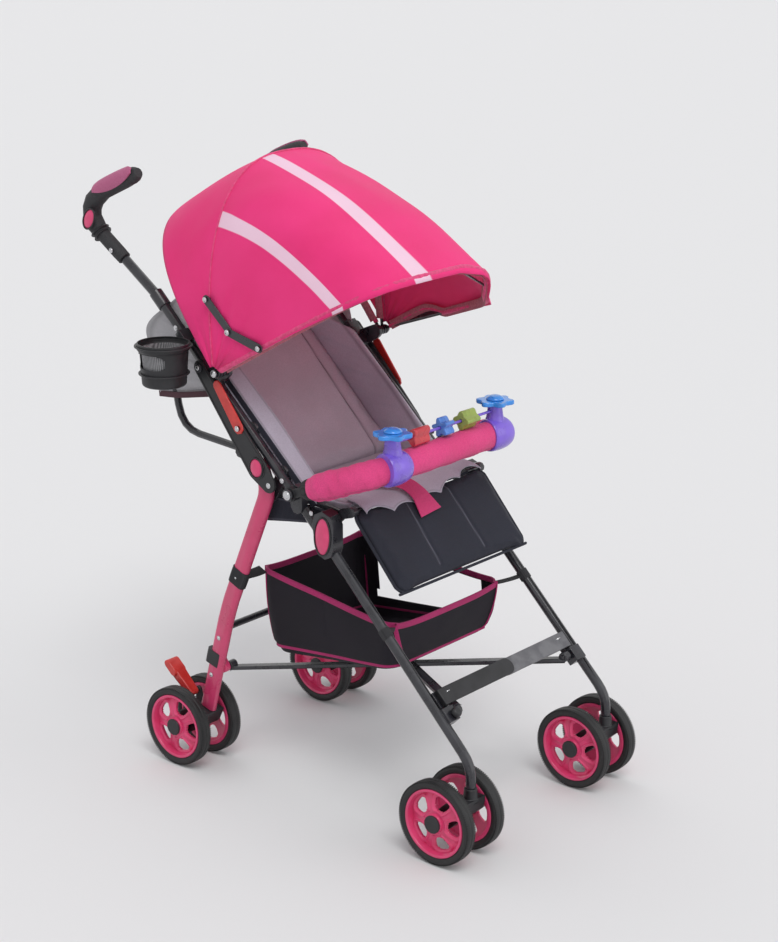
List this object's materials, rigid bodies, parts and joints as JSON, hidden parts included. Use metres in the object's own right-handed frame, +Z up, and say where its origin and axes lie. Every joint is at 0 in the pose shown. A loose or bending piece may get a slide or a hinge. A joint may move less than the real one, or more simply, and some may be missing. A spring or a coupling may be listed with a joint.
{
  "type": "umbrella stroller",
  "caption": "Folding umbrella stroller with twin wheels, hooked grips, reclining padded seat, calf rest, toy bar, sun canopy, basket and cup holder.",
  "frame": {"origin": "centre of the overall outline at floor level", "axes": "+Z up, the front of the stroller faces -Y, the seated child's right hand is towards -X"},
  "size_m": [0.5606, 0.9113, 1.1175],
  "materials": {
    "frame_black": "satin",
    "plastic_black": "matte",
    "leg_pink": "gloss",
    "plastic_pink": "gloss",
    "grip_foam": "matte",
    "tyre_black": "matte",
    "canopy_fabric": "matte",
    "stripe_white": "matte",
    "seat_grey": "matte",
    "seat_black": "matte",
    "mesh_grey": "matte",
    "pink_fabric": "matte",
    "red_plastic": "gloss",
    "purple_plastic": "gloss",
    "blue_plastic": "gloss",
    "green_plastic": "gloss",
    "rivet_steel": "satin"
  },
  "bodies": {
    "frame": {"main_frame_right": "frame_black", "main_frame_left": "frame_black", "front_brace_right": "plastic_black", "front_brace_left": "plastic_black", "canopy_bow_rear": "frame_black", "canopy_cloth": "canopy_fabric", "seat_pad": "seat_grey", "crotch_strap": "pink_fabric", "basket": "seat_black", "grip_right": "grip_foam", "grip_left": "grip_foam", "cup_holder": "plastic_black"},
    "side_links": {"side_link_right": "plastic_black", "side_link_left": "plastic_black"},
    "rear_legs": {"rear_leg_right": "leg_pink", "rear_leg_left": "leg_pink", "rear_hub_right": "plastic_black", "rear_hub_left": "plastic_black", "rear_crossbar": "frame_black"},
    "cross_braces": {"cross_brace_a": "frame_black", "cross_brace_b": "frame_black"},
    "fold_lever_right": {"fold_lever_right": "red_plastic"},
    "fold_lever_left": {"fold_lever_left": "red_plastic"},
    "canopy_front": {"canopy_bow_front": "frame_black"},
    "canopy_mid": {"canopy_bow_mid": "frame_black"},
    "canopy_stays_rear": {"canopy_stay_rear_right": "plastic_black", "canopy_stay_rear_left": "plastic_black"},
    "canopy_stays_front": {"canopy_stay_front_right": "plastic_black", "canopy_stay_front_left": "plastic_black"},
    "backrest": {"backrest": "seat_grey"},
    "recline_bar": {"recline_bar": "frame_black"},
    "calf_rest": {"calf_rest": "seat_black"},
    "toy_bar": {"toy_bar": "pink_fabric", "toy_rail": "purple_plastic"},
    "flower_right": {"toy_flower_right": "blue_plastic"},
    "flower_left": {"toy_flower_left": "blue_plastic"},
    "propeller": {"toy_propeller": "red_plastic"},
    "star": {"toy_star": "blue_plastic"},
    "clover": {"toy_clover": "green_plastic"},
    "caster_right": {"caster_right": "plastic_black"},
    "caster_left": {"caster_left": "plastic_black"},
    "brake_pedal_right": {"brake_pedal_right": "red_plastic"},
    "brake_pedal_left": {"brake_pedal_left": "red_plastic"},
    "wheel_front_right_outer": {"tyre_front_right_outer": "tyre_black", "rim_front_right_outer": "plastic_pink"},
    "wheel_front_right_inner": {"tyre_front_right_inner": "tyre_black", "rim_front_right_inner": "plastic_pink"},
    "wheel_rear_right_outer": {"tyre_rear_right_outer": "tyre_black", "rim_rear_right_outer": "plastic_pink"},
    "wheel_rear_right_inner": {"tyre_rear_right_inner": "tyre_black", "rim_rear_right_inner": "plastic_pink"},
    "wheel_front_left_outer": {"tyre_front_left_outer": "tyre_black", "rim_front_left_outer": "plastic_pink"},
    "wheel_front_left_inner": {"tyre_front_left_inner": "tyre_black", "rim_front_left_inner": "plastic_pink"},
    "wheel_rear_left_outer": {"tyre_rear_left_outer": "tyre_black", "rim_rear_left_outer": "plastic_pink"},
    "wheel_rear_left_inner": {"tyre_rear_left_inner": "tyre_black", "rim_rear_left_inner": "plastic_pink"}
  },
  "joints": [
    {"name": "fold", "type": "hinge", "parent": "frame", "child": "side_links", "pos_m": [0.03035, 0.17967, 0.7581], "axis": [1, 0, 0], "range_deg": [0, 147], "deforming": ["basket"]},
    {"name": "rear_leg_fold", "type": "hinge", "parent": "side_links", "child": "rear_legs", "pos_m": [0.03035, 0.0457, 0.60123], "axis": [1, 0, 0], "range_deg": [-203.4, 0.3]},
    {"name": "cross_brace_fold", "type": "hinge", "parent": "frame", "child": "cross_braces", "pos_m": [0.03035, -0.35667, 0.24395], "axis": [1, 0, 0], "range_deg": [-0.3, 34.8]},
    {"name": "fold_lever_right_turn", "type": "hinge", "parent": "side_links", "child": "fold_lever_right", "pos_m": [-0.18215, 0.08324, 0.66649], "axis": [-1, 0, 0], "range_deg": [0, 18]},
    {"name": "fold_lever_left_turn", "type": "hinge", "parent": "side_links", "child": "fold_lever_left", "pos_m": [0.24285, 0.08324, 0.66649], "axis": [-1, 0, 0], "range_deg": [0, 18]},
    {"name": "canopy_fold", "type": "hinge", "parent": "frame", "child": "canopy_front", "pos_m": [0.03035, 0.1233, 0.76], "axis": [-1, 0, 0], "range_deg": [0, 84], "deforming": ["canopy_cloth"]},
    {"name": "canopy_mid_fold", "type": "hinge", "parent": "frame", "child": "canopy_mid", "pos_m": [0.03035, 0.1233, 0.76], "axis": [-1, 0, 0], "range_deg": [-0.3, 26.3]},
    {"name": "canopy_stay_rear_turn", "type": "hinge", "parent": "canopy_mid", "child": "canopy_stays_rear", "pos_m": [0.03035, 0.13508, 0.88946], "axis": [1, 0, 0], "range_deg": [-0.3, 40.07]},
    {"name": "canopy_stay_front_turn", "type": "hinge", "parent": "canopy_front", "child": "canopy_stays_front", "pos_m": [0.03035, 0.00982, 0.82342], "axis": [1, 0, 0], "range_deg": [-40.07, 0.3]},
    {"name": "backrest_recline", "type": "hinge", "parent": "frame", "child": "backrest", "pos_m": [0.03035, 0.0313, 0.548], "axis": [1, 0, 0], "range_deg": [0, 26]},
    {"name": "recline_bar_turn", "type": "hinge", "parent": "frame", "child": "recline_bar", "pos_m": [0.03035, 0.1083, 0.613], "axis": [1, 0, 0], "range_deg": [-0.3, 35.92]},
    {"name": "calf_rest_tilt", "type": "hinge", "parent": "frame", "child": "calf_rest", "pos_m": [0.03035, -0.1437, 0.552], "axis": [-1, 0, 0], "range_deg": [0, 46]},
    {"name": "toy_bar_lift", "type": "hinge", "parent": "frame", "child": "toy_bar", "pos_m": [0.03035, -0.0407, 0.573], "axis": [-1, 0, 0], "range_deg": [0, 55]},
    {"name": "flower_right_spin", "type": "hinge", "parent": "toy_bar", "child": "flower_right", "pos_m": [-0.10965, -0.2037, 0.6924], "axis": [0, 0, 1], "continuous": true},
    {"name": "flower_left_spin", "type": "hinge", "parent": "toy_bar", "child": "flower_left", "pos_m": [0.17035, -0.2037, 0.6924], "axis": [0, 0, 1], "continuous": true},
    {"name": "propeller_spin", "type": "hinge", "parent": "toy_bar", "child": "propeller", "pos_m": [-0.04365, -0.2037, 0.677], "axis": [1, 0, 0], "continuous": true},
    {"name": "star_spin", "type": "hinge", "parent": "toy_bar", "child": "star", "pos_m": [0.02635, -0.2037, 0.677], "axis": [1, 0, 0], "continuous": true},
    {"name": "clover_spin", "type": "hinge", "parent": "toy_bar", "child": "clover", "pos_m": [0.09035, -0.2037, 0.677], "axis": [1, 0, 0], "continuous": true},
    {"name": "caster_right_swivel", "type": "hinge", "parent": "frame", "child": "caster_right", "pos_m": [-0.16565, -0.4207, 0.136], "axis": [0, 0, 1], "continuous": true},
    {"name": "brake_right_press", "type": "hinge", "parent": "rear_legs", "child": "brake_pedal_right", "pos_m": [-0.16565, 0.2343, 0.129], "axis": [-1, 0, 0], "range_deg": [0, 16]},
    {"name": "caster_left_swivel", "type": "hinge", "parent": "frame", "child": "caster_left", "pos_m": [0.22635, -0.4207, 0.136], "axis": [0, 0, 1], "continuous": true},
    {"name": "brake_left_press", "type": "hinge", "parent": "rear_legs", "child": "brake_pedal_left", "pos_m": [0.22635, 0.2343, 0.129], "axis": [-1, 0, 0], "range_deg": [0, 16]},
    {"name": "wheel_front_right_outer_spin", "type": "hinge", "parent": "caster_right", "child": "wheel_front_right_outer", "pos_m": [-0.20465, -0.3807, 0.075], "axis": [1, 0, 0], "continuous": true},
    {"name": "wheel_front_right_inner_spin", "type": "hinge", "parent": "caster_right", "child": "wheel_front_right_inner", "pos_m": [-0.12665, -0.3807, 0.075], "axis": [1, 0, 0], "continuous": true},
    {"name": "wheel_rear_right_outer_spin", "type": "hinge", "parent": "rear_legs", "child": "wheel_rear_right_outer", "pos_m": [-0.20465, 0.2333, 0.075], "axis": [1, 0, 0], "continuous": true},
    {"name": "wheel_rear_right_inner_spin", "type": "hinge", "parent": "rear_legs", "child": "wheel_rear_right_inner", "pos_m": [-0.12665, 0.2333, 0.075], "axis": [1, 0, 0], "continuous": true},
    {"name": "wheel_front_left_outer_spin", "type": "hinge", "parent": "caster_left", "child": "wheel_front_left_outer", "pos_m": [0.26535, -0.3807, 0.075], "axis": [1, 0, 0], "continuous": true},
    {"name": "wheel_front_left_inner_spin", "type": "hinge", "parent": "caster_left", "child": "wheel_front_left_inner", "pos_m": [0.18735, -0.3807, 0.075], "axis": [1, 0, 0], "continuous": true},
    {"name": "wheel_rear_left_outer_spin", "type": "hinge", "parent": "rear_legs", "child": "wheel_rear_left_outer", "pos_m": [0.26535, 0.2333, 0.075], "axis": [1, 0, 0], "continuous": true},
    {"name": "wheel_rear_left_inner_spin", "type": "hinge", "parent": "rear_legs", "child": "wheel_rear_left_inner", "pos_m": [0.18735, 0.2333, 0.075], "axis": [1, 0, 0], "continuous": true}
  ],
  "couplings": [
    {"joint": "rear_leg_fold", "follows": "fold", "ratio": -1.3816},
    {"joint": "cross_brace_fold", "follows": "fold", "ratio": 0.23469},
    {"joint": "canopy_mid_fold", "follows": "canopy_fold", "ratio": 0.30952},
    {"joint": "canopy_stay_rear_turn", "follows": "canopy_fold", "ratio": 0.47347},
    {"joint": "canopy_stay_front_turn", "follows": "canopy_fold", "ratio": -0.47347},
    {"joint": "recline_bar_turn", "follows": "backrest_recline", "ratio": 1.37}
  ]
}
